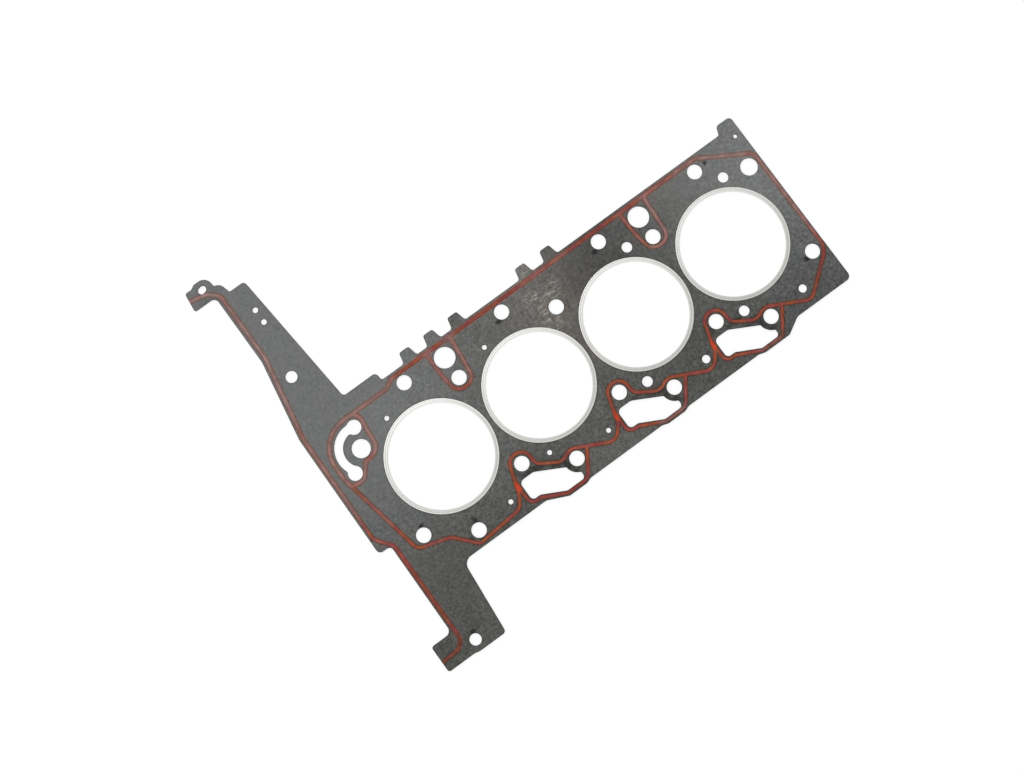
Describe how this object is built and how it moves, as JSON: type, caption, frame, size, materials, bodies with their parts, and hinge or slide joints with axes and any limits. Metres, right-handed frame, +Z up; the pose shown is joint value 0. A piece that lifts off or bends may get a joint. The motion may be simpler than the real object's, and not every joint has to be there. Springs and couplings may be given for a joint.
{
  "type": "cylinder head gasket",
  "caption": "Composite cylinder head gasket for an inline four, with steel fire rings round the bores, red printed sealing beads and a long arm for the timing case joint.",
  "frame": {"origin": "middle of the head-bolt pattern, on the lower face of the laminate", "axes": "+X along the row of cylinders away from the timing case end, +Y across the deck towards the long arm, +Z up from the block towards the cylinder head"},
  "size_m": [0.4336, 0.3621, 0.0018],
  "materials": {
    "core_steel": "tanged sheet steel, seen only as a thin line at the cut edges",
    "facing": "dark grey fibre facing, dry and finely grained, with scuffs and small smudges",
    "ring_steel": "bright thin stainless sheet folded round the bore edge, with a rolled crease",
    "bead_print": "thin printed silicone bead, brick red, pressed thin and faded in places"
  },
  "bodies": {
    "root": {"steel_core": "core_steel", "facing_upper": "facing", "facing_lower": "facing", "fire_ring_1": "ring_steel", "fire_ring_2": "ring_steel", "fire_ring_3": "ring_steel", "fire_ring_4": "ring_steel", "bead_upper_main": "bead_print", "bead_upper_front": "bead_print", "bead_lower_main": "bead_print", "bead_lower_front": "bead_print"}
  },
  "joints": []
}
